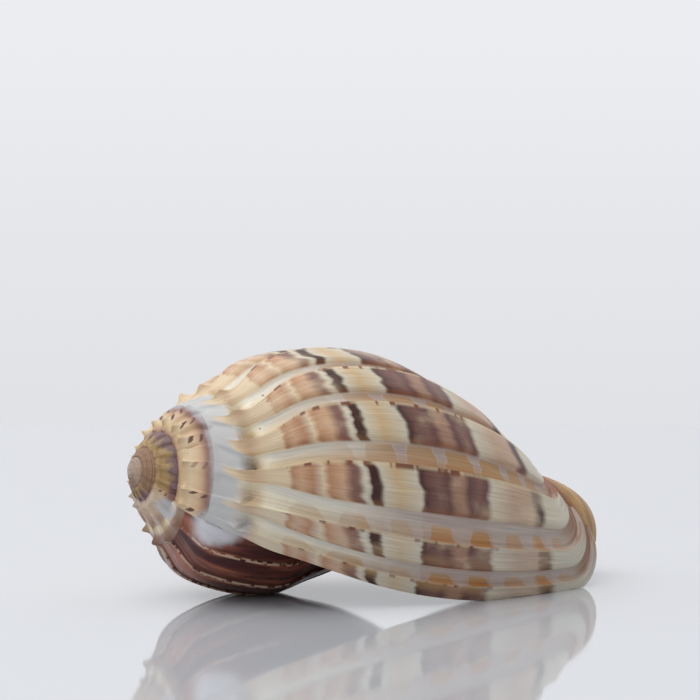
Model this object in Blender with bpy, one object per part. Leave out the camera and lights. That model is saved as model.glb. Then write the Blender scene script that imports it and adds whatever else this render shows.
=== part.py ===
import bpy
import math
import numpy as np

# Metres for one shell length, the unit of every profile number below.
UNIT = 0.075

# Rows of the outer wall from the suture down to the anterior end. Each row has its place down the
# wall, then its radius at the lip, half a turn and a whole turn earlier, its height down the axis
# from the apex at the same three, and how far it flares out right at the lip.
WALL_ROWS = (
    ("suture", 0.00, 0.142, 0.114, 0.090, 0.096, 0.088, 0.060, 0.000),
    ("shoulder", 0.10, 0.182, 0.144, 0.109, 0.154, 0.115, 0.068, 0.000),
    ("collar", 0.16, 0.213, 0.163, 0.130, 0.198, 0.138, 0.084, 0.000),
    ("flank", 0.24, 0.236, 0.198, 0.156, 0.262, 0.170, 0.111, 0.000),
    ("swell", 0.36, 0.286, 0.233, 0.169, 0.390, 0.247, 0.175, 0.000),
    ("widest", 0.52, 0.303, 0.241, 0.169, 0.531, 0.383, 0.270, 0.000),
    ("taper", 0.70, 0.272, 0.197, 0.137, 0.695, 0.507, 0.336, 0.002),
    ("narrow", 0.86, 0.213, 0.152, 0.105, 0.828, 0.578, 0.412, 0.010),
    ("end", 1.00, 0.146, 0.103, 0.073, 0.960, 0.622, 0.480, 0.012),
)
FLARE_ANGLE = 25.0

# Growth of radius and height in one turn of the spire.
SPIRE_RADIUS_GROWTH = 1.80
SPIRE_HEIGHT_GROWTH = 1.93
SPIRE_TURNS = 3

# Each turn's suture lies this far down the wall of the turn before it, in the spire and at the lip.
SUTURE_IN_SPIRE = 0.265
SUTURE_AT_LIP = 0.205
SUTURE_FADE = 100.0

# Rows of the swollen anterior lobe from the wall's end to the tip of the pillar. Each row has its
# place, then radius and height at the lip, behind the shell and at the pillar in the mouth.
LOBE_ROWS = (
    ("groove", 1.06, 0.112, 0.083, 0.055, 0.948, 0.670, 0.530),
    ("lobe_upper", 1.18, 0.092, 0.093, 0.047, 0.953, 0.750, 0.620),
    ("lobe_crown", 1.34, 0.070, 0.091, 0.043, 0.957, 0.830, 0.730),
    ("lobe_lower", 1.52, 0.047, 0.071, 0.039, 0.962, 0.900, 0.830),
    ("tip_side", 1.70, 0.024, 0.038, 0.024, 0.965, 0.945, 0.915),
)
LOBE_BACK_ANGLE = -150.0
TIP_HEIGHT = 0.967

# The lip stands this many degrees below the side of the shell, and its ribs curl back at the end.
LIP_AZIMUTH = -28.0
END_CURL = -30.0
CURL_START = 0.86

# Growth angles of the rib crests of one turn, in degrees back from the lip.
RIB_CRESTS = (5.0, 19.0, 44.0, 69.0, 89.0) + tuple(112.0 + 23.0 * i for i in range(11))
RIB_HEIGHT = 0.016
RIB_LEAN = 0.8
SPINE_HEIGHT = 0.010
SPINE_PLACE = 0.095
CALLUS_START = -250.0
CALLUS_FULL = -290.0
CALLUS_RELIEF = 0.30
LIP_RELIEF = 0.40

# Steps of the rib's cross-section: part of the spacing towards the lip, and height left there.
RIB_STEPS = ((0.0, 1.0), (0.28, 0.82), (0.55, 0.60), (0.74, 0.04), (0.955, 0.0))

WALL_PLACES = (0.0, 0.035, 0.07, 0.10, 0.13, 0.165, 0.205, 0.25, 0.31, 0.37, 0.44, 0.52,
               0.60, 0.67, 0.74, 0.80, 0.86, 0.91, 0.955, 1.0)
SUTURE_ROW = 6
MOUTH_ROW = 2

# The hollow behind the mouth: its length along the growth, wall thickness and callus thickness.
HOLLOW_TURN = 250.0
WALL_THICKNESS = 0.032
LIP_THICKNESS = 0.016
CALLUS_THICKNESS = 0.006
CORNER_PLACE = 0.20
HOLLOW_STEPS = (0.0, 0.004, 0.016, 0.035, 0.06, 0.10, 0.15, 0.21, 0.28, 0.36, 0.45, 0.55,
                0.66, 0.78, 0.90, 1.0)

# How the shell lies: the apex pitched up, and a roll about the long axis, in degrees.
PITCH = 10.0
ROLL = 0.0
# Depth to which the lowest spots are worn flat, in metres.
REST_WEAR = 0.00045


def through(places, values, at):
    """Smooth curve through values at places, read at every number of at."""
    places = np.asarray(places, float)
    values = np.asarray(values, float)
    slope = np.gradient(values, places, axis=-1)
    index = np.clip(np.searchsorted(places, at, side="right") - 1, 0, len(places) - 2)
    width = places[index + 1] - places[index]
    t = np.clip((at - places[index]) / width, 0.0, 1.0)
    pick = np.arange(values.shape[0])
    low = values[pick, index]
    high = values[pick, index + 1]
    low_slope = slope[pick, index] * width
    high_slope = slope[pick, index + 1] * width
    return (
        (2 * t**3 - 3 * t**2 + 1) * low
        + (t**3 - 2 * t**2 + t) * low_slope
        + (3 * t**2 - 2 * t**3) * high
        + (t**3 - t**2) * high_slope
    )


def ease(value):
    """Smooth step from 0 to 1."""
    t = np.clip(value, 0.0, 1.0)
    return t * t * (3.0 - 2.0 * t)


def wall_nodes(growth):
    """Radius and height of every wall row at each growth angle."""
    inside = np.clip(growth, -360.0, 0.0)
    back = -inside / 360.0
    at_lip = (1.0 - 2.0 * back) * (1.0 - back)
    half_turn = 4.0 * back * (1.0 - back)
    whole_turn = back * (2.0 * back - 1.0)
    earlier = (growth - inside) / 360.0
    flare = np.exp(inside / FLARE_ANGLE)
    radius = []
    height = []
    for row in WALL_ROWS:
        shape = row[2] ** at_lip * row[3] ** half_turn * row[4] ** whole_turn
        radius.append(shape * SPIRE_RADIUS_GROWTH**earlier + row[8] * flare)
        shape = row[5] ** at_lip * row[6] ** half_turn * row[7] ** whole_turn
        height.append(shape * SPIRE_HEIGHT_GROWTH**earlier + 0.3 * row[8] * flare)
    return np.stack(radius, -1), np.stack(height, -1)


def suture_place(growth):
    """How far down the wall of the turn before the suture lies."""
    return SUTURE_IN_SPIRE + (SUTURE_AT_LIP - SUTURE_IN_SPIRE) * np.exp(growth / SUTURE_FADE)


def lobe_nodes(growth):
    """Radius and height of every lobe row, from the wall's end to the tip."""
    inside = np.clip(growth, -360.0, 0.0)
    wall_radius, wall_height = wall_nodes(inside)
    at_lip = (inside - LOBE_BACK_ANGLE) * (inside + 360.0) / ((0.0 - LOBE_BACK_ANGLE) * 360.0)
    behind = inside * (inside + 360.0) / (LOBE_BACK_ANGLE * (LOBE_BACK_ANGLE + 360.0))
    at_pillar = inside * (inside - LOBE_BACK_ANGLE) / (360.0 * (360.0 + LOBE_BACK_ANGLE))
    radius = [wall_radius[:, -1]]
    height = [wall_height[:, -1]]
    for row in LOBE_ROWS:
        radius.append(at_lip * row[2] + behind * row[3] + at_pillar * row[4])
        height.append(at_lip * row[5] + behind * row[6] + at_pillar * row[7])
    return np.stack(radius, -1), np.stack(height, -1)


WALL_NODE_PLACES = np.array([row[1] for row in WALL_ROWS])
LOBE_NODE_PLACES = np.array([1.0] + [row[1] for row in LOBE_ROWS])


def profile(growth, place):
    """Radius, height and outward direction of the sheet for matching lists of angles and places."""
    def at(places):
        wall_radius, wall_height = wall_nodes(growth)
        lobe_radius, lobe_height = lobe_nodes(growth)
        on_wall = places <= 1.0
        radius = np.where(
            on_wall,
            through(WALL_NODE_PLACES, wall_radius, np.clip(places, 0.0, 1.0)),
            through(LOBE_NODE_PLACES, lobe_radius, np.clip(places, 1.0, LOBE_NODE_PLACES[-1])),
        )
        height = np.where(
            on_wall,
            through(WALL_NODE_PLACES, wall_height, np.clip(places, 0.0, 1.0)),
            through(LOBE_NODE_PLACES, lobe_height, np.clip(places, 1.0, LOBE_NODE_PLACES[-1])),
        )
        return radius, height

    radius, height = at(place)
    step = 0.004
    edge = np.where(place <= 1.0, np.minimum(place + step, 1.0), place + step)
    next_radius, next_height = at(edge)
    last_radius, last_height = at(np.where(place > 1.0, np.maximum(place - step, 1.0001), place - step))
    along_radius = next_radius - last_radius
    along_height = next_height - last_height
    size = np.hypot(along_radius, along_height) + 1e-12
    return radius, height, along_height / size, -along_radius / size


def curl(growth, place):
    """Degrees by which growth lines curl back near the anterior end."""
    bend = np.clip((place - CURL_START) / (1.0 - CURL_START), 0.0, 1.0)
    return END_CURL * bend * bend * np.clip(1.0 + growth / 360.0, 0.0, 1.0)


def local_scale(growth):
    """Size of the growing shell at a growth angle, 1 at the lip."""
    inside = np.clip(growth, -360.0, 0.0)
    return 1.6 ** (inside / 360.0) * SPIRE_RADIUS_GROWTH ** ((growth - inside) / 360.0)


def rib_strength(growth, place):
    """How far ribs stand up at a place down the wall, 0 to 1."""
    ramp = 0.15 + 0.85 * ease((place - 0.06) / 0.10)
    end = 1.0 - ease((place - 0.97) / 0.06)
    callus = ease((CALLUS_START - growth) / (CALLUS_START - CALLUS_FULL))
    on_last_turn = growth > -420.0
    worn = np.where(on_last_turn, 1.0 - (1.0 - CALLUS_RELIEF) * callus, 1.0)
    near_lip = LIP_RELIEF + (1.0 - LIP_RELIEF) * ease((-growth - 4.0) / 34.0)
    return ramp * end * worn * near_lip


def to_world(radius, height, azimuth):
    """Points in metres: +X from the apex to the anterior end, azimuth 0 towards -Y and 90 up."""
    turn = np.radians(azimuth)
    x = height * UNIT
    y = -radius * np.cos(turn) * UNIT
    z = radius * np.sin(turn) * UNIT
    roll = math.radians(ROLL)
    y, z = y * math.cos(roll) - z * math.sin(roll), y * math.sin(roll) + z * math.cos(roll)
    pitch = math.radians(PITCH)
    x, z = x * math.cos(pitch) + z * math.sin(pitch), z * math.cos(pitch) - x * math.sin(pitch)
    return np.stack([x, y, z], -1)


def growth_columns():
    """Growth angle, lean and rib height of every column of one turn, from the lip backwards."""
    crests = sorted(RIB_CRESTS)
    columns = [(0.0, 0.78), (-2.5, 0.86)]
    for index, crest in enumerate(crests):
        columns.append((-crest, 1.0))
        following = crests[index + 1] if index + 1 < len(crests) else crests[0] + 360.0
        spacing = following - crest
        for part, left in reversed(RIB_STEPS[1:]):
            columns.append((-(following - part * spacing), left))
    columns = [column for column in columns if column[0] > -360.0 + 0.3]
    return np.array(columns)


def outer_point(growth, place, left):
    """World points of the ribbed outer surface."""
    bent = growth + curl(growth, place)
    radius, height, out_radius, out_height = profile(bent, place)
    strength = rib_strength(growth, place)
    size = local_scale(growth)
    depth = RIB_HEIGHT * size * (1.0 - left) * strength
    spine = SPINE_HEIGHT * size * np.exp(-(((place - SPINE_PLACE) / 0.018) ** 2))
    lift = np.where(left > 0.99, spine * strength, 0.0) - depth
    lean = -RIB_LEAN * np.where(left > 0.99, strength, 0.0)
    return to_world(
        radius + lift * out_radius,
        height + lift * out_height,
        LIP_AZIMUTH - bent - lean,
    )


def build_shell():
    vertices = []
    faces = []

    def add(points):
        start = len(vertices)
        vertices.extend(tuple(map(float, point)) for point in np.atleast_2d(points))
        return list(range(start, len(vertices)))

    turn = growth_columns()
    per_turn = len(turn)
    total = per_turn * (SPIRE_TURNS + 1)
    last = total - 1
    growths = np.concatenate([turn[:, 0] - 360.0 * n for n in range(SPIRE_TURNS + 1)])
    lefts = np.tile(turn[:, 1], SPIRE_TURNS + 1)
    places = np.array(WALL_PLACES)
    lobe_places = np.array([row[1] for row in LOBE_ROWS])
    all_places = np.concatenate([places, lobe_places])
    tip = add(to_world(np.array([0.0]), np.array([TIP_HEIGHT]), np.array([0.0])))[0]

    # The suture is a line on the wall of the turn before. The last turn carries every row.
    grid = []
    for column in range(total):
        growth = growths[column]
        left = lefts[column]
        share = suture_place(growth + 360.0) / SUTURE_AT_LIP if column >= per_turn else 1.0
        column_places = all_places if column <= per_turn else places[:SUTURE_ROW]
        down = column_places.copy()
        down[:SUTURE_ROW] *= share
        count = len(down)
        points = outer_point(np.full(count, growth), down, np.full(count, left))
        seam = np.array([suture_place(growth)])
        points[0] = outer_point(np.array([growth - 360.0]), seam, np.array([left]))[0]
        if column < per_turn:
            grid.append(add(points))
        elif column == per_turn:
            above = add(points[:SUTURE_ROW])
            below = add(points[SUTURE_ROW + 1:])
            grid.append(above + [grid[0][0]] + below)
        else:
            grid.append(add(points) + [grid[column - per_turn][0]])

    for column in range(last):
        upper, lower = grid[column + 1], grid[column]
        rows = len(all_places) if column < per_turn else SUTURE_ROW + 1
        for index in range(rows - 1):
            faces.append((lower[index], lower[index + 1], upper[index + 1], upper[index]))
        if column < per_turn:
            faces.append((lower[-1], tip, upper[-1]))

    # The first whorl closes over its own open end.
    crown = [grid[column][0] for column in range(last, last - per_turn, -1)]
    first_wall = grid[last][: SUTURE_ROW + 1]
    ring = crown + first_wall[::-1][:-1]
    seen = []
    for vertex in ring:
        if vertex not in seen:
            seen.append(vertex)
    middle = np.mean([vertices[vertex] for vertex in seen], axis=0)
    apex = to_world(np.array([0.0]), np.array([0.0]), np.array([0.0]))[0]
    top = add(0.35 * middle + 0.65 * apex)[0]
    for index, vertex in enumerate(seen):
        faces.append((vertex, top, seen[(index + 1) % len(seen)]))

    # Glaze joins the top of the lip to the turn before it.
    faces.append((grid[0][0], grid[per_turn][SUTURE_ROW + 1], grid[0][1]))
    for order in range(1, MOUTH_ROW):
        faces.append((
            grid[0][order],
            grid[per_turn][SUTURE_ROW + order],
            grid[per_turn][SUTURE_ROW + order + 1],
            grid[0][order + 1],
        ))

    # The mouth: down the lip, round the tip, up the pillar and the wall of the turn before.
    lip_side = grid[0][MOUTH_ROW:]
    pillar_side = grid[per_turn][SUTURE_ROW + MOUTH_ROW:][::-1]
    mouth = lip_side + [tip] + pillar_side
    lip_places = all_places[MOUTH_ROW:]
    pillar_places = all_places[SUTURE_ROW + MOUTH_ROW:][::-1]
    previous = mouth
    for step in HOLLOW_STEPS[1:]:
        ring = add(hollow_ring(step, lip_places, pillar_places))
        for index in range(len(mouth)):
            after = (index + 1) % len(mouth)
            faces.append((previous[after], previous[index], ring[index], ring[after]))
        previous = ring
    end_points = np.array([vertices[vertex] for vertex in previous])
    inner = add(end_points.mean(axis=0))[0]
    for index in range(len(previous)):
        after = (index + 1) % len(previous)
        faces.append((previous[after], previous[index], inner))
    return vertices, faces


def hollow_ring(step, lip_places, pillar_places):
    """One ring of the hollow, a share of its length in from the mouth."""
    inward = step * HOLLOW_TURN
    growth = -inward
    thick = LIP_THICKNESS + (WALL_THICKNESS - LIP_THICKNESS) * ease(inward / 14.0)
    deep = ease((inward - 1.0) / 40.0)
    size = float(local_scale(np.array([growth]))[0])
    # The hollow's upper corner stands clear of the ramp, where the two turns part.
    clear = 1.0 - math.exp(-inward / 1.0)
    corner = lip_places[0] + (CORNER_PLACE - lip_places[0]) * clear
    moved = np.where(
        lip_places <= 1.0,
        corner + (lip_places - lip_places[0]) * (1.0 - corner) / (1.0 - lip_places[0]),
        lip_places,
    )
    # Outer side, from that corner down to the wall's end and round to the tip.
    count = len(lip_places)
    angles = np.full(count, growth)
    bent = angles + curl(angles, moved)
    radius, height, out_radius, out_height = profile(bent, moved)
    radius = radius - thick * size * out_radius
    height = height - thick * size * out_height
    wall_end = int(np.argmax(lip_places >= 1.0))
    azimuth = LIP_AZIMUTH - bent
    corner_height = float(height[0])
    # Where the hollow ends against the pillar.
    floor_height = TIP_HEIGHT - 0.02 + (height[wall_end] - 0.01 - TIP_HEIGHT + 0.02) * deep
    floor_radius = 0.012 + (0.062 - 0.012) * deep
    # The lobe's rows turn inwards to meet the pillar.
    for order in range(wall_end + 1, count):
        share = (order - wall_end) / (count - wall_end)
        inner_radius = radius[wall_end] + (floor_radius - radius[wall_end]) * share
        inner_height = height[wall_end] + (floor_height - height[wall_end]) * share
        inner_azimuth = azimuth[wall_end] + (LIP_AZIMUTH + inward - azimuth[wall_end]) * share
        radius[order] += (inner_radius - radius[order]) * deep
        height[order] += (inner_height - height[order]) * deep
        azimuth[order] += (inner_azimuth - azimuth[order]) * deep
    outer = to_world(radius, height, azimuth)
    floor = to_world(
        np.array([floor_radius]),
        np.array([floor_height]),
        np.array([azimuth[-1]]),
    )
    # Inner side, up the pillar and over the wall of the turn before.
    angles = np.full(len(pillar_places), growth - 360.0)
    finding = np.linspace(0.2, 0.6, 81)
    found = profile(np.full(81, growth - 360.0), finding)[1]
    level = float(np.interp(corner_height, found, finding))
    last_place = pillar_places[-1] + (level - pillar_places[-1]) * clear
    moved = np.where(
        pillar_places <= 1.0,
        1.0 - (1.0 - pillar_places) * (1.0 - last_place) / (1.0 - pillar_places[-1]),
        pillar_places,
    )
    radius, height, out_radius, out_height = profile(angles, moved)
    cover = CALLUS_THICKNESS * ease(inward / 12.0) * size
    radius = radius + cover * out_radius
    height = height + cover * out_height
    wall_start = int(np.argmax(pillar_places <= 1.0))
    for order in range(wall_start):
        share = (order + 1) / (wall_start + 1)
        inner_height = floor_height + (height[wall_start] - floor_height) * share
        inner_radius = floor_radius + (radius[wall_start] - floor_radius) * share * share
        radius[order] += (inner_radius - radius[order]) * deep
        height[order] += (inner_height - height[order]) * deep
    inner = to_world(radius, height, LIP_AZIMUTH - angles)
    return np.concatenate([outer, floor, inner])


def make_material():
    material = bpy.data.materials.new("shell_ceramic")
    material.use_nodes = True
    surface = material.node_tree.nodes["Principled BSDF"]
    surface.inputs["Base Color"].default_value = (0.72, 0.62, 0.48, 1.0)
    surface.inputs["Roughness"].default_value = 0.35
    return material


def main():
    for thing in list(bpy.data.objects):
        bpy.data.objects.remove(thing, do_unlink=True)
    vertices, faces = build_shell()
    points = np.array(vertices)
    points[:, 2] = np.maximum(points[:, 2], points[:, 2].min() + REST_WEAR)
    low = points.min(axis=0)
    high = points.max(axis=0)
    shift = np.array([(low[0] + high[0]) / 2.0, (low[1] + high[1]) / 2.0, low[2]])
    mesh = bpy.data.meshes.new("harp_shell")
    mesh.from_pydata([tuple(point) for point in points - shift], [], faces)
    mesh.update()
    mesh.materials.append(make_material())
    shell = bpy.data.objects.new("harp_shell", mesh)
    bpy.context.scene.collection.objects.link(shell)


main()
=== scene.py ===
"""A ribbed harp shell lying on a pale glossy table, with its ribs, glaze and colour bands."""

import math

import bpy
import numpy as np
from bpy.props import FloatProperty, FloatVectorProperty, PointerProperty
from mathutils import Matrix, Vector


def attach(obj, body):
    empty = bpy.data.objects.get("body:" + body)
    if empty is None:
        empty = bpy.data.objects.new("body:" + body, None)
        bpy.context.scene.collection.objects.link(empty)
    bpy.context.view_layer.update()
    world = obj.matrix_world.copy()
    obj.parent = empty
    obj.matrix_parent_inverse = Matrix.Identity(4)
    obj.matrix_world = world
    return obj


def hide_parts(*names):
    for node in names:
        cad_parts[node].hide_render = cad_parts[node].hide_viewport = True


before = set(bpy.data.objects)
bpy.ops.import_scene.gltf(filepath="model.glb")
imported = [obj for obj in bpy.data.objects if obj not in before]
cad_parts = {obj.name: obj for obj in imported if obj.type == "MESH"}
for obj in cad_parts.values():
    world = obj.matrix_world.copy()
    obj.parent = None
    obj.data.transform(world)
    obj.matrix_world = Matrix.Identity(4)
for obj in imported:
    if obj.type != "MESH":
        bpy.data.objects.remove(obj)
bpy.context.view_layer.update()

bl_info = {
    "name": "Harp Shell",
    "version": (1, 0, 0),
    "blender": (4, 5, 0),
    "location": "3D View > Sidebar > Harp Shell",
    "description": "Builds a ribbed harp shell and the pale table that it lies on",
    "category": "Object",
}

# Metres for one shell length, the unit of every profile number below.
UNIT = 0.075

# Rows of the outer wall from the suture down to the anterior end. Each row has its place down the
# wall, then its radius at the lip, half a turn and a whole turn earlier, its height down the axis
# from the apex at the same three, and how far it flares out right at the lip.
WALL_ROWS = (
    ("suture", 0.00, 0.142, 0.114, 0.090, 0.096, 0.088, 0.060, 0.000),
    ("shoulder", 0.10, 0.182, 0.144, 0.109, 0.154, 0.115, 0.068, 0.000),
    ("collar", 0.16, 0.213, 0.163, 0.130, 0.198, 0.138, 0.084, 0.000),
    ("flank", 0.24, 0.236, 0.198, 0.156, 0.262, 0.170, 0.111, 0.000),
    ("swell", 0.36, 0.286, 0.233, 0.169, 0.390, 0.247, 0.175, 0.000),
    ("widest", 0.52, 0.303, 0.241, 0.169, 0.531, 0.383, 0.270, 0.000),
    ("taper", 0.70, 0.272, 0.197, 0.137, 0.695, 0.507, 0.336, 0.002),
    ("narrow", 0.86, 0.213, 0.152, 0.105, 0.828, 0.578, 0.412, 0.010),
    ("end", 1.00, 0.146, 0.103, 0.073, 0.960, 0.622, 0.480, 0.012),
)
FLARE_ANGLE = 25.0

# Growth of radius and height in one turn of the spire, of the relief in the last turn, and how
# many turns the spire has.
SPIRE_RADIUS_GROWTH = 1.80
SPIRE_HEIGHT_GROWTH = 1.93
LAST_TURN_GROWTH = 1.6
SPIRE_TURNS = 4

# Each turn's suture lies this far down the wall of the turn before it, in the spire and at the lip.
SUTURE_IN_SPIRE = 0.265
SUTURE_AT_LIP = 0.205
SUTURE_FADE = 100.0

# Rows of the swollen anterior lobe from the wall's end to the tip of the pillar. Each row has its
# place, then radius and height at the lip, behind the shell and at the pillar in the mouth.
LOBE_ROWS = (
    ("groove", 1.06, 0.102, 0.083, 0.055, 0.936, 0.670, 0.530),
    ("lobe_upper", 1.18, 0.078, 0.093, 0.047, 0.940, 0.750, 0.620),
    ("lobe_crown", 1.34, 0.057, 0.091, 0.043, 0.947, 0.830, 0.730),
    ("lobe_lower", 1.52, 0.041, 0.071, 0.039, 0.957, 0.900, 0.830),
    ("tip_side", 1.70, 0.021, 0.038, 0.024, 0.964, 0.945, 0.915),
)
LOBE_BACK_ANGLE = -150.0
TIP_HEIGHT = 0.967
TIP_PLACE = 1.8

# The lip stands this many degrees below the side of the shell, and its ribs curl back at the end.
LIP_AZIMUTH = -28.0
END_CURL = -30.0
CURL_START = 0.86
SHOULDER_BEND = 13.0

# Growth angles, in degrees back from the lip: glaze starts to cover the underside and covers it
# fully, and the last whorl gives way to the spire.
GLAZED_FROM = -250.0
GLAZED_FULL = -290.0
WHORL_END = (-358.0, -362.0)

# Growth angles of the rib crests of one turn, in degrees back from the lip, and the width of a
# crest's steep edge.
RIB_CRESTS = (5.0, 19.0, 44.0, 69.0, 89.0) + tuple(112.0 + 23.0 * i for i in range(11))
CREST_EDGE = 0.10
# Share of the ribs' height that is left under the glaze and right at the lip.
CALLUS_RELIEF = 0.30
LIP_RELIEF = 0.48
# Glaze fills the corner along the last suture, over this many rows to each side of it, and the
# corner is smoothed this many times.
FILLET_ROWS = 7
FILLET_ROUNDS = 14

# Where the columns of one rib spacing stand, from the older crest at 0 to the younger one at 1.
PHASES = (0.0, 0.012, 0.035, 0.07, 0.12, 0.18, 0.24, 0.30, 0.36, 0.42, 0.48, 0.53, 0.57, 0.61,
          0.65, 0.70, 0.76, 0.82, 0.88, 0.92, 0.945, 0.963, 0.980, 1.0)
# Columns between the lip and its first rib in degrees back from the lip, the spacing that they
# belong to, and the growth angle that no column of a turn goes beyond.
LIP_COLUMNS = (0.0, 0.6, 1.3, 2.0, 2.8, 3.6, 4.3)
LIP_SPACING = 15.0
TURN_END = -359.4

# How the rib changes over its spacing: its height, the spine on it, the pit behind it, and how
# far its crest leans back.
RIB_PROFILE = ((0.0, 1.0), (0.05, 0.975), (0.15, 0.93), (0.30, 0.85), (0.44, 0.77), (0.52, 0.68),
               (0.58, 0.42), (0.64, 0.10), (0.72, 0.015), (0.85, 0.0), (0.955, 0.0),
               (0.978, 0.18), (0.992, 0.80), (1.0, 1.0))
SPINE_PROFILE = ((0.0, 1.0), (0.11, 0.80), (0.19, 0.58), (0.27, 0.38), (0.36, 0.20), (0.50, 0.0),
                 (0.82, 0.0), (0.90, 0.12), (0.96, 0.45), (1.0, 1.0))
PIT_PROFILE = ((0.0, 0.0), (0.46, 0.0), (0.60, 0.30), (0.74, 0.70), (0.88, 1.0), (0.955, 0.9),
               (1.0, 0.0))
LEAN_PROFILE = ((0.0, 1.0), (0.04, 0.50), (0.12, 0.16), (0.26, 0.0), (0.93, 0.0), (0.97, 0.20),
                (1.0, 1.0))
# How the spines shrink with degrees back from the lip.
SPINE_FADE = ((330.0, 370.0, 700.0, 780.0, 1050.0, 1120.0), (1.0, 1.2, 1.1, 0.6, 0.3, 0.0))

# Places down the wall of the fine rows, in stretches of (start, end, count).
RAMP_PLACES = (0.0, 0.012, 0.025, 0.04, 0.055, 0.07, 0.08, 0.09, 0.10, 0.108, 0.116, 0.124, 0.132,
               0.142, 0.153, 0.165, 0.178, 0.191)
FLANK_PLACES = (0.205, 0.90, 60)
END_PLACES = (0.911, 1.0, 11)
LOBE_PLACES = (1.02, 1.70, 22)
# The row where the mouth's edge starts, the one where the suture meets the turn before, and the
# rib phase that the mouth's faces carry.
MOUTH_ROW = 5
SUTURE_ROW = 18
MOUTH_PHASE = 0.6

# The hollow behind the mouth: its length in degrees, the thickness of the wall, the lip and the
# callus, the place of its upper corner, and the steps of its rings along its length.
HOLLOW_TURN = 250.0
WALL_THICKNESS = 0.032
LIP_THICKNESS = 0.016
CALLUS_THICKNESS = 0.006
CORNER_PLACE = 0.20
HOLLOW_STEPS = (0.0, 0.002, 0.005, 0.010, 0.016, 0.024, 0.035, 0.048, 0.06, 0.08, 0.10, 0.125,
                0.15, 0.18, 0.21, 0.245, 0.28, 0.32, 0.36, 0.405, 0.45, 0.50, 0.55, 0.605, 0.66,
                0.72, 0.78, 0.84, 0.90, 0.95, 1.0)

# Round patches of milky glaze: centre and reach in millimetres along X, Y and Z.
GLAZE_BLOBS = (
    ((-27.4, -8.2, 10.9), (4.3, 6.0, 3.3)),
    ((-32.3, -2.1, 13.0), (1.9, 2.0, 1.7)),
)

# How the shell lies: the apex pitched up, in degrees, and the apex's own place in metres.
PITCH = 10.0
APEX = (-0.03587850, 0.00229672, 0.01814371)

# The camera: degrees round and above the shell, and metres from the apex.
CAMERA_TURN = -27.76
CAMERA_RISE = 5.12
CAMERA_DISTANCE = 0.675
SENSOR_WIDTH = 36.0
# Where the apex stands in the picture, as parts of its width from the centre, and the width in
# metres that the picture covers at the apex.
APEX_ACROSS = -0.3181
APEX_DOWN = 0.1694
PICTURE_WIDTH = 0.09278

# Colours of the pale room, from behind the camera to the far side.
ROOM_STOPS = ((0.0, (0.36, 0.38, 0.42)), (0.55, (0.66, 0.68, 0.72)), (1.0, (1.06, 1.07, 1.105)))

# How far the table reaches from the shell: behind it, and to the other three sides.
TABLE_BEHIND = 0.215
TABLE_REACH = 1.6


def through(places, values, at):
    """Smooth curve through values at places, read at every number of at."""
    places = np.asarray(places, float)
    values = np.asarray(values, float)
    slope = np.gradient(values, places, axis=-1)
    index = np.clip(np.searchsorted(places, at, side="right") - 1, 0, len(places) - 2)
    width = places[index + 1] - places[index]
    t = np.clip((at - places[index]) / width, 0.0, 1.0)
    pick = np.arange(values.shape[0])
    low = values[pick, index]
    high = values[pick, index + 1]
    low_slope = slope[pick, index] * width
    high_slope = slope[pick, index + 1] * width
    return (
        (2 * t**3 - 3 * t**2 + 1) * low
        + (t**3 - 2 * t**2 + t) * low_slope
        + (3 * t**2 - 2 * t**3) * high
        + (t**3 - t**2) * high_slope
    )


def ease(value):
    """Smooth step from 0 to 1."""
    t = np.clip(value, 0.0, 1.0)
    return t * t * (3.0 - 2.0 * t)


def mix(first, second, share):
    """first at share 0 and second at share 1."""
    return first + (second - first) * share


def hump(value, middle, width):
    """1 at the middle, and down towards 0 over the width to both sides."""
    return np.exp(-(((value - middle) / width) ** 2))


def wall_nodes(growth):
    """Radius and height of every wall row at each growth angle."""
    inside = np.clip(growth, -360.0, 0.0)
    back = -inside / 360.0
    at_lip = (1.0 - 2.0 * back) * (1.0 - back)
    half_turn = 4.0 * back * (1.0 - back)
    whole_turn = back * (2.0 * back - 1.0)
    earlier = (growth - inside) / 360.0
    flare = np.exp(inside / FLARE_ANGLE)
    radius = []
    height = []
    for row in WALL_ROWS:
        shape = row[2] ** at_lip * row[3] ** half_turn * row[4] ** whole_turn
        radius.append(shape * SPIRE_RADIUS_GROWTH**earlier + row[8] * flare)
        shape = row[5] ** at_lip * row[6] ** half_turn * row[7] ** whole_turn
        height.append(shape * SPIRE_HEIGHT_GROWTH**earlier + 0.3 * row[8] * flare)
    return np.stack(radius, -1), np.stack(height, -1)


def suture_place(growth):
    """How far down the wall of the turn before the suture lies."""
    return mix(SUTURE_IN_SPIRE, SUTURE_AT_LIP, np.exp(growth / SUTURE_FADE))


def lobe_nodes(growth):
    """Radius and height of every lobe row, from the wall's end to the tip."""
    inside = np.clip(growth, -360.0, 0.0)
    wall_radius, wall_height = wall_nodes(inside)
    at_lip = (inside - LOBE_BACK_ANGLE) * (inside + 360.0) / ((0.0 - LOBE_BACK_ANGLE) * 360.0)
    behind = inside * (inside + 360.0) / (LOBE_BACK_ANGLE * (LOBE_BACK_ANGLE + 360.0))
    at_pillar = inside * (inside - LOBE_BACK_ANGLE) / (360.0 * (360.0 + LOBE_BACK_ANGLE))
    radius = [wall_radius[:, -1]]
    height = [wall_height[:, -1]]
    for row in LOBE_ROWS:
        radius.append(at_lip * row[2] + behind * row[3] + at_pillar * row[4])
        height.append(at_lip * row[5] + behind * row[6] + at_pillar * row[7])
    return np.stack(radius, -1), np.stack(height, -1)


WALL_NODE_PLACES = np.array([row[1] for row in WALL_ROWS])
LOBE_NODE_PLACES = np.array([1.0] + [row[1] for row in LOBE_ROWS])


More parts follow.
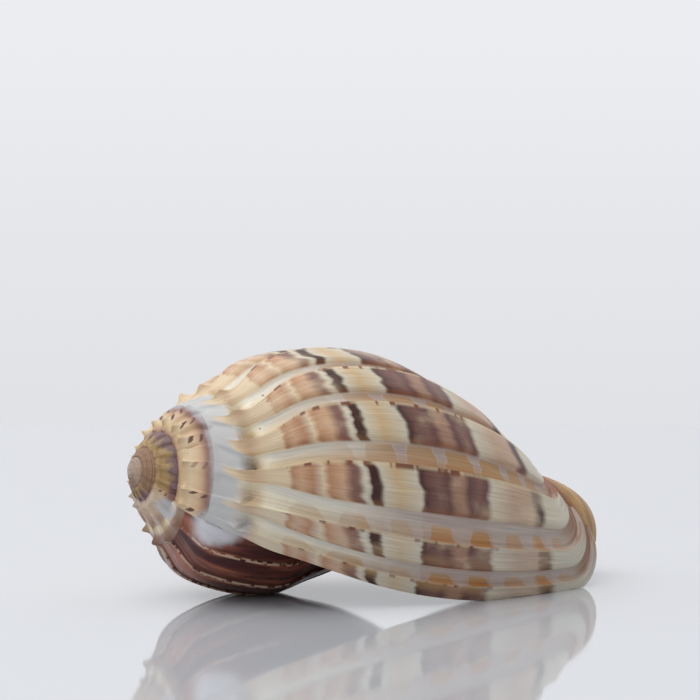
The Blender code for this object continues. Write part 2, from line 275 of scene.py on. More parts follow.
def profile(growth, place):
    """Radius, height and outward direction of the sheet for matching lists of angles and places."""
    rows = list(zip(wall_nodes(growth), lobe_nodes(growth)))

    def at(places):
        found = []
        for wall, lobe in rows:
            on_wall = through(WALL_NODE_PLACES, wall, np.clip(places, 0.0, 1.0))
            on_lobe = through(LOBE_NODE_PLACES, lobe, np.clip(places, 1.0, LOBE_NODE_PLACES[-1]))
            found.append(np.where(places <= 1.0, on_wall, on_lobe))
        return found

    radius, height = at(place)
    step = 0.004
    edge = np.where(place <= 1.0, np.minimum(place + step, 1.0), place + step)
    next_radius, next_height = at(edge)
    last_radius, last_height = at(np.where(place > 1.0, np.maximum(place - step, 1.0001), place - step))
    along_radius = next_radius - last_radius
    along_height = next_height - last_height
    size = np.hypot(along_radius, along_height) + 1e-12
    return radius, height, along_height / size, -along_radius / size


def curl(growth, place):
    """Degrees by which growth lines curl back near the anterior end and forward at the shoulder."""
    bend = np.clip((place - CURL_START) / (1.0 - CURL_START), 0.0, 1.0)
    back = END_CURL * bend * bend * np.clip(1.0 + growth / 360.0, 0.0, 1.0)
    back = back * (1.0 - 0.75 * ease((place - 1.02) / 0.26) * ease((growth + 75.0) / 65.0))
    at_shoulder = ease(place / 0.08) * (1.0 - ease((place - 0.11) / 0.20))
    aged = ease((-growth - 20.0) / 50.0) * ease((growth + 330.0) / 80.0)
    return back + SHOULDER_BEND * at_shoulder * aged


def local_scale(growth):
    """Size of the growing shell at a growth angle, 1 at the lip."""
    inside = np.clip(growth, -360.0, 0.0)
    return LAST_TURN_GROWTH ** (inside / 360.0) * SPIRE_RADIUS_GROWTH ** ((growth - inside) / 360.0)


def rib_strength(growth, place):
    """How far ribs stand up at a place down the wall, 0 to 1."""
    ramp = 0.30 + 0.70 * ease((place - 0.092) / 0.034)
    end = (1.0 - ease((place - 0.985) / 0.05)) * (1.0 - 0.5 * ease((place - 0.80) / 0.15))
    callus = ease((GLAZED_FROM - growth) / (GLAZED_FROM - GLAZED_FULL))
    worn = np.where(growth > -420.0, 1.0 - (1.0 - CALLUS_RELIEF) * callus, 1.0)
    near_lip = mix(LIP_RELIEF, 1.0, ease((-growth - 4.0) / 34.0))
    first_turn = 1.0 - 0.7 * ease((-growth - 1040.0) / 80.0)
    return ramp * end * worn * near_lip * first_turn


def to_world(radius, height, azimuth):
    """Points in metres: +X from the apex to the anterior end, azimuth 0 towards -Y and 90 up."""
    turn = np.radians(azimuth)
    x = height * UNIT
    y = -radius * np.cos(turn) * UNIT
    z = radius * np.sin(turn) * UNIT
    pitch = math.radians(PITCH)
    x, z = x * math.cos(pitch) + z * math.sin(pitch), z * math.cos(pitch) - x * math.sin(pitch)
    return np.stack([x, y, z], -1) + np.array(APEX)


def petal_phase(phase, place):
    """Rib phase with narrow bands and wide grooves at the shoulder, which even out below it."""
    narrow = 1.0 - ease((place - 0.125) / 0.19)
    return phase ** (1.0 - 0.50 * narrow)


def growth_columns():
    """Growth, phase and rib number of every column of one turn, from the lip backwards.

    A column has one phase for the spacing on its older side and one for that on its lip side.
    """
    columns = []
    first = RIB_CRESTS[0]
    for back in LIP_COLUMNS:
        columns.append((-back, -1.0, -1.0, 0, 0))
    columns.append((-first + CREST_EDGE, 0.0, 0.0, 0, 0))
    for index, crest in enumerate(RIB_CRESTS):
        last = index + 1 == len(RIB_CRESTS)
        following = RIB_CRESTS[0] + 360.0 if last else RIB_CRESTS[index + 1]
        spacing = following - crest
        columns.append((-crest, 1.0, 0.0, index + 1, index))
        for phase in PHASES[-2:0:-1]:
            growth = -(following - phase * spacing)
            if growth > TURN_END:
                columns.append((growth, phase, phase, index + 1, index + 1))
        if not last:
            columns.append((-following + CREST_EDGE, 0.0, 0.0, index + 1, index + 1))
    return columns


class ShellSheet:
    """Collects the points and faces of the whole shell with what each corner says of its place."""

    POINT_NUMBERS = ("rib_phase", "rib_strength", "shell_scale", "shoulder", "pit")
    POINT_ARROWS = ("outward", "backward")
    # What a point without ribs says: its numbers, then its two arrows.
    PLAIN = (0.0, 0.0, 1.0) + (0.0,) * 8

    def __init__(self):
        self.points = []
        self.told = []
        self.faces = []
        self.corners = []
        self.inside = []

    def add_outer(self, growth, places, phase):
        """Adds one column of the outer wall before its ribs are raised."""
        growth = np.broadcast_to(np.asarray(growth, float), places.shape)
        bent = growth + curl(growth, places)
        radius, height, out_radius, out_height = profile(bent, places)
        azimuth = LIP_AZIMUTH - bent
        base = to_world(radius, height, azimuth)
        outward = to_world(radius + 0.01 * out_radius, height + 0.01 * out_height, azimuth) - base
        backward = to_world(radius, height, azimuth + 1.0) - base
        shoulder = hump(places, 0.100, 0.020) * np.interp(-growth, *SPINE_FADE)
        # Each groove starts in a pit, and swells up right after it.
        pit = hump(places, 0.108, 0.011) - 0.22 * hump(places, 0.158, 0.030)
        pit *= ease((growth + 262.0) / 20.0)
        pit *= 1.0 - 0.6 * ease((growth + 43.0) / 12.0)
        phases = petal_phase(np.broadcast_to(phase, places.shape), places)
        numbers = (phases, rib_strength(growth, places), local_scale(growth), shoulder, pit)
        told = np.concatenate([np.stack(numbers, -1), outward / 0.01, backward], -1)
        return self.add(base, told.tolist())

    def add(self, base, told=None):
        """Adds points and gives their numbers in the sheet."""
        base = np.atleast_2d(base).tolist()
        start = len(self.points)
        self.points.extend(base)
        self.told.extend(told or [self.PLAIN] * len(base))
        return list(range(start, start + len(base)))

    def face(self, corners, inside=False):
        """Adds a face whose corners are each (point, place, phase, growth, rib number)."""
        self.faces.append(tuple(corner[0] for corner in corners))
        self.corners.extend(corner[1:] for corner in corners)
        self.inside.append(inside)


def sheet_places():
    flank = np.linspace(*FLANK_PLACES)
    end = np.linspace(*END_PLACES)
    return np.concatenate([RAMP_PLACES, flank, end]), np.linspace(*LOBE_PLACES)


def build_sheet():
    """The whole shell as one closed sheet, with smooth walls that carry their rib phases."""
    sheet = ShellSheet()
    turn = growth_columns()
    per_turn = len(turn)
    total = per_turn * (SPIRE_TURNS + 1)
    last = total - 1
    places, lobe_places = sheet_places()
    all_places = np.concatenate([places, lobe_places])
    tip = sheet.add(to_world(0.0, TIP_HEIGHT, 0.0))[0]

    def column_at(number):
        """Growth, then phase and rib as younger and as older corner, of a column of any turn."""
        back = number // per_turn
        growth, young, old, young_rib, old_rib = turn[number % per_turn]
        if young < 0.0:
            spacing = LIP_SPACING if back == 0 else 360.0 + RIB_CRESTS[0] - RIB_CRESTS[-1]
            young = old = (RIB_CRESTS[0] + growth) / spacing
        ribs = len(RIB_CRESTS) * back
        return growth - 360.0 * back, young, old, young_rib + ribs, old_rib + ribs

    # The suture is a line on the wall of the turn before. The last turn carries every row.
    grid = []
    grid_places = []
    for number in range(total):
        growth, phase = column_at(number)[:2]
        share = float(suture_place(growth + 360.0)) / SUTURE_AT_LIP if number >= per_turn else 1.0
        down = (all_places if number <= per_turn else places[:SUTURE_ROW]).copy()
        down[:SUTURE_ROW] *= share
        seam = np.array([float(suture_place(growth))])
        top = sheet.add_outer(growth - 360.0, seam, phase)
        if number < per_turn:
            grid.append(top + sheet.add_outer(growth, down[1:], phase))
        elif number == per_turn:
            wall = sheet.add_outer(growth, down[1:], phase)
            grid.append(top + wall[:SUTURE_ROW - 1] + [grid[0][0]] + wall[SUTURE_ROW:])
        else:
            grid.append(top + sheet.add_outer(growth, down[1:], phase) + [grid[number - per_turn][0]])
            down = np.append(down, suture_place(growth + 360.0))
        grid_places.append(down)

    fill_last_suture(sheet, grid, per_turn)

    def corner(number, row, older):
        growth, young, old, young_rib, old_rib = column_at(number)
        place = float(grid_places[number][row])
        phase = old if older else young
        rib = old_rib if older else young_rib
        warped = float(petal_phase(np.array(phase), np.array(place)))
        return grid[number][row], place, warped, growth, float(rib)

    for number in range(last):
        rows = len(all_places) if number < per_turn else SUTURE_ROW + 1
        lower = [corner(number, row, False) for row in range(rows)]
        upper = [corner(number + 1, row, True) for row in range(rows)]
        for row in range(rows - 1):
            sheet.face((lower[row], lower[row + 1], upper[row + 1], upper[row]))
        if number < per_turn:
            sheet.face((lower[-1], (tip, TIP_PLACE) + lower[-1][2:], upper[-1]))

    # The first whorl closes over its own open end.
    crown = [grid[number][0] for number in range(last, last - per_turn, -1)]
    ring = crown + grid[last][:SUTURE_ROW + 1][::-1][:-1]
    seen = list(dict.fromkeys(ring))
    middle = np.mean([sheet.points[point] for point in seen], axis=0)
    top = sheet.add(0.35 * middle + 0.65 * to_world(0.0, 0.0, 0.0))[0]
    for index, point in enumerate(seen):
        following = seen[(index + 1) % len(seen)]
        told = (0.05, 0.5, -360.0 * (SPIRE_TURNS + 1), 0.0)
        sheet.face([(used,) + told for used in (point, top, following)])

    # Glaze joins the top of the lip to the turn before it.
    patch = (0.05, 0.3, -1.0, 0.0)
    wall = grid[per_turn]
    sheet.face([(used,) + patch for used in (grid[0][0], wall[SUTURE_ROW + 1], grid[0][1])])
    for order in range(1, MOUTH_ROW):
        below = wall[SUTURE_ROW + order:SUTURE_ROW + order + 2]
        square = (grid[0][order], *below, grid[0][order + 1])
        sheet.face([(used,) + patch for used in square])

    # The mouth: down the lip, round the tip, up the pillar and the wall of the turn before.
    lip_places = all_places[MOUTH_ROW:]
    pillar_places = all_places[SUTURE_ROW + MOUTH_ROW:][::-1]
    mouth = grid[0][MOUTH_ROW:] + [tip] + wall[SUTURE_ROW + MOUTH_ROW:][::-1]
    mouth_places = np.concatenate([lip_places, [TIP_PLACE], pillar_places])
    sides = np.concatenate([np.zeros(len(lip_places)), [0.5], np.ones(len(pillar_places))])

    def in_mouth(point, index, depth):
        return point, mouth_places[index], MOUTH_PHASE, -depth, sides[index]

    previous = mouth
    depth = 0.0
    for step in HOLLOW_STEPS[1:]:
        ring = sheet.add(hollow_ring(step, lip_places, pillar_places))
        new_depth = step * HOLLOW_TURN
        for index in range(len(mouth)):
            after = (index + 1) % len(mouth)
            sheet.face((
                in_mouth(previous[after], after, depth),
                in_mouth(previous[index], index, depth),
                in_mouth(ring[index], index, new_depth),
                in_mouth(ring[after], after, new_depth),
            ), inside=True)
        previous = ring
        depth = new_depth
    end_points = np.array([sheet.points[point] for point in previous])
    inner = sheet.add(end_points.mean(axis=0))[0]
    for index in range(len(previous)):
        used = (previous[(index + 1) % len(previous)], previous[index], inner)
        sheet.face([in_mouth(point, index, depth) for point in used], inside=True)
    return sheet


def fill_last_suture(sheet, grid, per_turn):
    """Rounds the corner between the last whorl and the one before it, as glaze does."""
    share = 1.0 - np.abs(np.linspace(-1.0, 1.0, 2 * FILLET_ROWS + 1))
    hold = ease(share * 1.6)[1:-1, None]
    for number in range(per_turn):
        before = grid[number + per_turn][SUTURE_ROW - FILLET_ROWS:SUTURE_ROW]
        chain = before + grid[number][:FILLET_ROWS + 1]
        line = np.array([sheet.points[point] for point in chain])
        for _ in range(FILLET_ROUNDS):
            middle = 0.5 * (line[:-2] + line[2:])
            line[1:-1] += 0.7 * hold * (middle - line[1:-1])
        for point, moved in zip(chain, line.tolist()):
            sheet.points[point] = moved


def hollow_ring(step, lip_places, pillar_places):
    """One ring of the hollow, a share of its length in from the mouth."""
    inward = step * HOLLOW_TURN
    growth = -inward
    thick = mix(LIP_THICKNESS, WALL_THICKNESS, ease(inward / 14.0))
    thick *= 0.35 + 0.65 * ease(inward / 1.6)
    deep = ease((inward - 1.0) / 40.0)
    size = float(local_scale(np.array([growth]))[0])
    # The hollow's upper corner stands clear of the ramp, where the two turns part.
    clear = 1.0 - math.exp(-inward / 1.0)
    corner = mix(lip_places[0], CORNER_PLACE, clear)
    moved = np.where(
        lip_places <= 1.0,
        corner + (lip_places - lip_places[0]) * (1.0 - corner) / (1.0 - lip_places[0]),
        lip_places,
    )
    # Outer side, from that corner down to the wall's end and round to the tip.
    count = len(lip_places)
    angles = np.full(count, growth)
    bent = angles + curl(angles, moved)
    radius, height, out_radius, out_height = profile(bent, moved)
    radius = radius - thick * size * out_radius
    height = height - thick * size * out_height
    wall_end = int(np.argmax(lip_places >= 1.0))
    azimuth = LIP_AZIMUTH - bent
    corner_height = float(height[0])
    # Where the hollow ends against the pillar. The lobe's rows turn inwards to meet it there.
    floor_height = mix(TIP_HEIGHT - 0.02, height[wall_end] - 0.01, deep)
    floor_radius = mix(0.012, 0.062, deep)
    share = (np.arange(wall_end + 1, count) - wall_end) / (count - wall_end)
    goals = (floor_radius, floor_height, LIP_AZIMUTH + inward)
    for values, goal in zip((radius, height, azimuth), goals):
        line = mix(values[wall_end], goal, share)
        values[wall_end + 1:] = mix(values[wall_end + 1:], line, deep)
    outer = to_world(radius, height, azimuth)
    floor = to_world(floor_radius, floor_height, azimuth[-1])[None]
    # Inner side, up the pillar and over the wall of the turn before.
    angles = np.full(len(pillar_places), growth - 360.0)
    finding = np.linspace(0.2, 0.6, 81)
    found = profile(np.full(81, growth - 360.0), finding)[1]
    level = float(np.interp(corner_height, found, finding))
    last_place = mix(pillar_places[-1], level, clear)
    moved = np.where(
        pillar_places <= 1.0,
        1.0 - (1.0 - pillar_places) * (1.0 - last_place) / (1.0 - pillar_places[-1]),
        pillar_places,
    )
    radius, height, out_radius, out_height = profile(angles, moved)
    cover = CALLUS_THICKNESS * ease(inward / 12.0) * size
    radius = radius + cover * out_radius
    height = height + cover * out_height
    wall_start = int(np.argmax(pillar_places <= 1.0))
    share = np.arange(1, wall_start + 1) / (wall_start + 1)
    for values, start, along in ((radius, floor_radius, share * share), (height, floor_height, share)):
        line = mix(start, values[wall_start], along)
        values[:wall_start] = mix(values[:wall_start], line, deep)
    inner = to_world(radius, height, LIP_AZIMUTH - angles)
    return np.concatenate([outer, floor, inner])


def corner_masks(corners, points):
    """How much of the glaze and of the dark callus covers each corner."""
    place, phase, growth, rib = corners.T
    last_turn = growth > -360.0
    # Milky glaze over the ramp of the last whorl, reaching a little down every rib.
    reach = 0.050 + 0.056 * ease((phase - 0.42) / 0.24) - 0.030 * ease((-growth - 100.0) / 50.0)
    reach += 0.014 * np.sin(rib * 2.3 + 0.6)
    ramp = 1.0 - ease((place - reach + 0.045) / 0.080)
    ramp *= np.where(last_turn, 1.0 - 0.75 * ease((-growth - 150.0) / 80.0), 0.0)
    earlier = ease((growth + 540.0) / 80.0) * ease((place - 0.180) / 0.052)
    ramp = np.maximum(ramp, np.where(last_turn, 0.0, 0.85 * earlier))
    blobs = np.zeros(len(place))
    for centre, reach_mm in GLAZE_BLOBS:
        away = (points - np.array(centre)) / np.array(reach_mm)
        blobs = np.maximum(blobs, 1.0 - ease((np.sqrt((away**2).sum(-1)) - 0.45) / 0.75))
    glaze = np.maximum(ramp, blobs)
    # Dark glossy callus over the underside of the last whorl.
    under = ease((-growth - 262.0) / 26.0)
    callus = np.where(last_turn, under * ease((place - 0.095) / 0.05), 0.0)
    # Painted shade on the turn before, in the corner beside the glazed suture.
    close = ease((-growth - 300.0) / 25.0) * (1.0 - ease((-growth - 470.0) / 60.0))
    shade = close * ease((place - 0.150) / 0.06)
    plum = np.where(last_turn, under * ease((place - 0.030) / 0.050), 0.75 * shade)
    # Painted light: a pale veil that lightens the left side of the spire's lower whorls.
    side = (-growth) % 360.0
    veil = ease((side - 195.0) / 60.0) * (1.0 - ease((side - 345.0) / 15.0))
    veil = np.where(last_turn, 0.0, veil * np.interp(-growth, (540.0, 720.0, 1080.0), (0.75, 0.6, 0.0)))
    return {"glaze": glaze, "callus": callus, "dusk": np.clip(plum, 0.0, 1.0), "veil": veil}


def raise_ribs_tree(wall, mouth, sizes):
    """Geometry nodes that raise the ribs and shoulder spines on the smooth sheet."""
    tree = bpy.data.node_groups.new("raise_ribs", "GeometryNodeTree")
    tree.is_modifier = True
    tree.interface.new_socket("Geometry", in_out="INPUT", socket_type="NodeSocketGeometry")
    for name, value in sizes.items():
        made = tree.interface.new_socket(name, in_out="INPUT", socket_type="NodeSocketFloat")
        made.default_value = value
    tree.interface.new_socket("Geometry", in_out="OUTPUT", socket_type="NodeSocketGeometry")
    wires = Wires(tree)
    geometry, *amounts = wires.node("NodeGroupInput", {}).outputs[:-1]
    amounts = {socket.name: Signal(wires, socket) for socket in amounts}
    phase = wires.named("rib_phase")
    strength = wires.named("rib_strength")
    scale = wires.named("shell_scale")
    shoulder = wires.named("shoulder")
    hollow = 1.0 - wires.curve(phase, RIB_PROFILE)
    depth = amounts["Rib height"] * (strength * scale) * hollow
    pit = wires.named("pit") * wires.curve(phase, PIT_PROFILE) * scale
    depth = depth + pit * amounts["Pit depth"]
    spine = shoulder * wires.curve(phase, SPINE_PROFILE) * scale * amounts["Spine height"]
    lean = wires.curve(phase, LEAN_PROFILE) * strength * amounts["Crest lean"]
    moves = []
    for name, amount in (("outward", spine - depth), ("backward", lean)):
        arrow = wires.named(name, "FLOAT_VECTOR")
        moves.append(wires.vectors("SCALE", "Vector", {0: arrow, "Scale": amount}))
    shift = wires.vectors("ADD", "Vector", dict(enumerate(moves)))

    def step(kind, geometry, **sources):
        return wires.value("GeometryNode" + kind, "Geometry", dict(sources, Geometry=geometry))

    geometry = step("SetPosition", geometry, Offset=shift)
    # The lowest spots are worn flat on the table.
    x, y, z = wires.parts(wires.value("GeometryNodeInputPosition", 0, {}))
    geometry = step("SetPosition", geometry, Position=wires.vector(x, y, wires.math("MAXIMUM", z, 0.0)))
    geometry = step("RealizeInstances", geometry)
    geometry = step("SetMaterial", geometry, Material=wall)
    inside = wires.named("inside_face", "BOOLEAN")
    geometry = step("SetMaterial", geometry, Material=mouth, Selection=inside)
    wires.node("NodeGroupOutput", {"Geometry": geometry})
    return tree


# One colour ramp holds 32 stops, so a longer one is made of two that meet at this stop.
RAMP_LIMIT = 32
RAMP_SPLIT = 24


class Signal:
    """A node's output, whose sums and products are further math nodes of its tree."""

    def __init__(self, wires, socket):
        self.wires = wires
        self.socket = socket

    def __add__(self, other):
        return self.wires.math("ADD", self, other)

    def __radd__(self, other):
        return self.wires.math("ADD", other, self)

    def __sub__(self, other):
        return self.wires.math("SUBTRACT", self, other)

    def __rsub__(self, other):
        return self.wires.math("SUBTRACT", other, self)

    def __mul__(self, other):
        return self.wires.math("MULTIPLY", self, other)

    def __rmul__(self, other):
        return self.wires.math("MULTIPLY", other, self)

    def __truediv__(self, other):
        return self.wires.math("DIVIDE", self, other)


class Wires:
    """Adds and joins the nodes of one tree. A colour may be given by its name in colours."""

    def __init__(self, tree, colours=None):
        self.tree = tree
        self.colours = colours

    def node(self, kind, inputs, **settings):
        """Adds a node with its settings and feeds its inputs, given by name or number."""
        made = self.tree.nodes.new(kind)
        for name, value in settings.items():
            setattr(made, name, value)
        for name, source in inputs.items():
            self.feed(made.inputs[name], source)
        return made

    def value(self, kind, output, inputs, **settings):
        """The same, but gives one of the node's outputs."""
        return Signal(self, self.node(kind, inputs, **settings).outputs[output])

    def feed(self, socket, source):
        """Joins a signal to a socket, or sets the socket's value to a number or colour."""
        if isinstance(source, Signal):
            source = source.socket
        if isinstance(source, bpy.types.NodeSocket):
            self.tree.links.new(source, socket)
        elif socket.type == "RGBA":
            socket.default_value = self.colour(source)
        else:
            socket.default_value = source

    def colour(self, source):
        """Red, green, blue and alpha of a colour's name, of three values or of a grey."""
        if isinstance(source, str):
            source = self.colours[source]
        return (source, source, source, 1.0) if isinstance(source, float) else (*source, 1.0)

    def named(self, name, kind="FLOAT"):
        inputs = {"Name": name}
        return self.value("GeometryNodeInputNamedAttribute", "Attribute", inputs, data_type=kind)

    def attribute(self, name):
        return self.value("ShaderNodeAttribute", "Fac", {}, attribute_name=name)

    def place_in(self, space):
        return self.value("ShaderNodeTexCoord", space, {})

    def math(self, operation, *sources):
        return self.value("ShaderNodeMath", 0, dict(enumerate(sources)), operation=operation)

    def vectors(self, operation, output, inputs):
        return self.value("ShaderNodeVectorMath", output, inputs, operation=operation)

    def vector(self, x, y, z=0.0):
        return self.value("ShaderNodeCombineXYZ", 0, {0: x, 1: y, 2: z})

    def parts(self, vector):
        return self.node("ShaderNodeSeparateXYZ", {0: vector}).outputs

    def curve(self, value, points):
        made = self.node("ShaderNodeFloatCurve", {"Value": value})
        line = made.mapping.curves[0]
        line.points[0].location = points[0]
        line.points[1].location = points[-1]
        for point in points[1:-1]:
            line.points.new(*point)
        for point in line.points:
            point.handle_type = "AUTO_CLAMPED"
        made.mapping.update()
        return Signal(self, made.outputs[0])

    def smooth(self, value, low, high):
        """Smooth step from 0 at low to 1 at high, or down when low is above high."""
        down = isinstance(low, float) and isinstance(high, float) and low > high
        first, second = (high, low) if down else (low, high)
        ends = {"From Min": first, "From Max": second, "To Min": float(down), "To Max": float(not down)}
        inputs = dict(ends, Value=value)
        return self.value("ShaderNodeMapRange", 0, inputs, interpolation_type="SMOOTHSTEP")

    def window(self, value, start, full, still, gone):
        """1 between full and still, with smooth sides down to 0 at start and gone."""
        return self.smooth(value, start, full) * self.smooth(value, gone, still)

    def blend(self, amount, first, second, kind="MIX"):
        inputs = {"Factor": amount, 6: first, 7: second}
        return self.value("ShaderNodeMix", 2, inputs, data_type="RGBA", blend_type=kind)

    def shaded(self, colour, amount):
        """The colour made darker or paler by a factor."""
        return self.blend(1.0, colour, self.vector(amount, amount, amount), "MULTIPLY")

    def ramp(self, value, stops):
        """Colour ramp through (place, colour) stops, where a number is a grey."""
        if len(stops) > RAMP_LIMIT:
            first = self.ramp(value, stops[:RAMP_SPLIT + 1])
            second = self.ramp(value, stops[RAMP_SPLIT:])
            return self.blend(self.math("GREATER_THAN", value, stops[RAMP_SPLIT][0]), first, second)
        made = self.node("ShaderNodeValToRGB", {0: value})
        elements = made.color_ramp.elements
        while len(elements) < len(stops):
            elements.new(0.5)
        for element, (place, colour) in zip(elements, stops):
            element.position = place
            element.color = self.colour(colour)
        return Signal(self, made.outputs[0])

    def noise(self, vector, scale=1.0, detail=2.0, roughness=0.5):
        inputs = {"Vector": vector, "Scale": scale, "Detail": detail, "Roughness": roughness}
        return self.value("ShaderNodeTexNoise", 0, inputs)

    def group(self, tree, **sources):
        made = self.tree.nodes.new("ShaderNodeGroup")
        made.node_tree = tree
        for name, source in sources.items():
            self.feed(made.inputs[name], source)
        return {socket.name: Signal(self, socket) for socket in made.outputs}


def shade(red, green, blue):
    """A colour from its everyday 0 to 255 values, as the light-linear values of a shader."""
    values = []
    for value in (red, green, blue):
        part = value / 255.0
        values.append(part / 12.92 if part <= 0.04045 else ((part + 0.055) / 1.055) ** 2.4)
    return tuple(values)


def new_group(name, inputs, outputs):
    tree = bpy.data.node_groups.new(name, "ShaderNodeTree")
    for label, kind, value in inputs:
        made = tree.interface.new_socket(label, in_out="INPUT", socket_type=kind)
        if value is not None:
            made.default_value = value
    for label, kind in outputs:
        tree.interface.new_socket(label, in_out="OUTPUT", socket_type=kind)
    wires = Wires(tree)
    entry = [Signal(wires, socket) for socket in wires.node("NodeGroupInput", {}).outputs[:-1]]
    return tree, wires, entry


def new_material(name, colours=None):
    material = bpy.data.materials.new(name)
    material.use_nodes = True
    tree = material.node_tree
    return material, Wires(tree, colours), tree.nodes["Principled BSDF"]


def growth_lines_group():
    """Fine lines that follow the growing edge, as a 0 to 1 shade and a relief height."""
    tree, wires, (across, along) = new_group(
        "growth_lines",
        [("Across", "NodeSocketFloat", 0.0), ("Along", "NodeSocketFloat", 0.0)],
        [("Lines", "NodeSocketFloat"), ("Relief", "NodeSocketFloat")],
    )
    broad = wires.noise(wires.vector(across * 9.0, along * 5.0))
    fine = wires.noise(wires.vector(across * 34.0, along * 7.0, 4.0), 1.0, 3.0, 0.6)
    threads = wires.noise(wires.vector(across * 6.0, along * 260.0, 9.0), 1.0, 1.0)
    lines = broad * 0.35 + fine * 0.65
    wires.node("NodeGroupOutput", {"Lines": lines, "Relief": fine * 0.8 + threads * 0.25})
    return tree


def dark_callus_group():
    """Glassy red-brown callus with tan streaks that run the way the ribs do."""
    tree, wires, (across, along, dark, streak) = new_group(
        "dark_callus",
        [
            ("Across", "NodeSocketFloat", 0.0),
            ("Along", "NodeSocketFloat", 0.0),
            ("Dark", "NodeSocketColor", (0.02, 0.006, 0.006, 1.0)),
            ("Streak", "NodeSocketColor", (0.3, 0.15, 0.08, 1.0)),
        ],
        [("Colour", "NodeSocketColor")],
    )
    clouds = wires.noise(wires.vector(across * 2.3, along * 3.2, 2.0), 1.0, 3.0)
    streaks = wires.noise(wires.vector(across * 3.2, along * 1.6, 7.0), 1.0, 3.0)
    amount = wires.smooth(clouds, 0.38, 0.62) * wires.smooth(streaks, 0.30, 0.66)
    wires.node("NodeGroupOutput", {"Colour": wires.blend(amount, dark, streak)})
    return tree


# Colours down a rib's band, from the shoulder to the anterior end. Each stop names a place and
# one of the shell's colours.
BAND_STOPS = (
    (0.000, "ramp"), (0.070, "peach"), (0.108, "apricot"), (0.150, "peach"), (0.178, "peach"),
    (0.192, "peach"), (0.201, "square"), (0.222, "blush"), (0.246, "square"), (0.256, "beige"),
    (0.266, "peach"), (0.276, "square"), (0.300, "blush"), (0.316, "plum"), (0.326, "plum"),
    (0.335, "cream"), (0.342, "cream"), (0.347, "bar"), (0.362, "bar"), (0.369, "cream"),
    (0.400, "butter"), (0.442, "cream"), (0.450, "bar"), (0.462, "dusky"), (0.490, "plum"),
    (0.510, "dusky"), (0.528, "gap"), (0.548, "gap"), (0.562, "dusky"), (0.588, "plum"),
    (0.606, "dusky"), (0.620, "cream"), (0.680, "beige"), (0.745, "beige"), (0.765, "dusky"),
    (0.774, "bar"), (0.786, "bar"), (0.810, "cream"),
)
# Ochre arches between the ribs: 0 at a gap between two arches and 1 at an arch's middle.
ARCH_STOPS = (
    (0.130, 0.0), (0.190, 0.75), (0.245, 0.35), (0.290, 0.8), (0.335, 0.0), (0.378, 1.0),
    (0.420, 0.0), (0.468, 1.0), (0.515, 0.0), (0.560, 1.0), (0.605, 0.0), (0.652, 1.0),
    (0.700, 0.0), (0.740, 1.0), (0.780, 0.0), (0.820, 0.9), (0.860, 0.0), (0.900, 0.8),
    (0.940, 0.0),
)
# How strong the arches' ochre is down the wall.
ARCH_STRENGTH = ((0.10, 0.10), (0.24, 0.45), (0.45, 0.72), (0.60, 0.95), (0.84, 0.85), (0.90, 0.15))
# Colours of the spire's whorls and of the second whorl, from one suture to the next.
SPIRE_STOPS = (
    (0.0, "tan"), (0.15, "beige"), (0.30, "butter"), (0.48, "peach"), (0.66, "apricot"),
    (0.84, "mauve"), (1.0, "mauve"),
)
SECOND_WHORL_STOPS = ((0.0, "apex"), (0.30, "moss"), (0.55, "moss"), (0.85, "smoke"), (1.0, "smoke"))
# Colours of the anterior lobe, over its places halved so that they fit a ramp.
LOBE_STOPS = (
    (0.49, "stain"), (0.505, "notch"), (0.53, "stain"), (0.615, "stain"), (0.655, "olive"),
    (0.72, "olive"), (0.85, "moss"), (1.00, "moss"),
)


def finish_surface(wires, surface, colour, roughness, refraction, relief):
    """Feeds the surface its colour, gloss and relief."""
    normal = wires.value("ShaderNodeBump", "Normal", relief)
    looks = {"Base Color": colour, "Roughness": roughness, "IOR": refraction, "Normal": normal}
    for name, source in looks.items():
        wires.feed(surface.inputs[name], source)


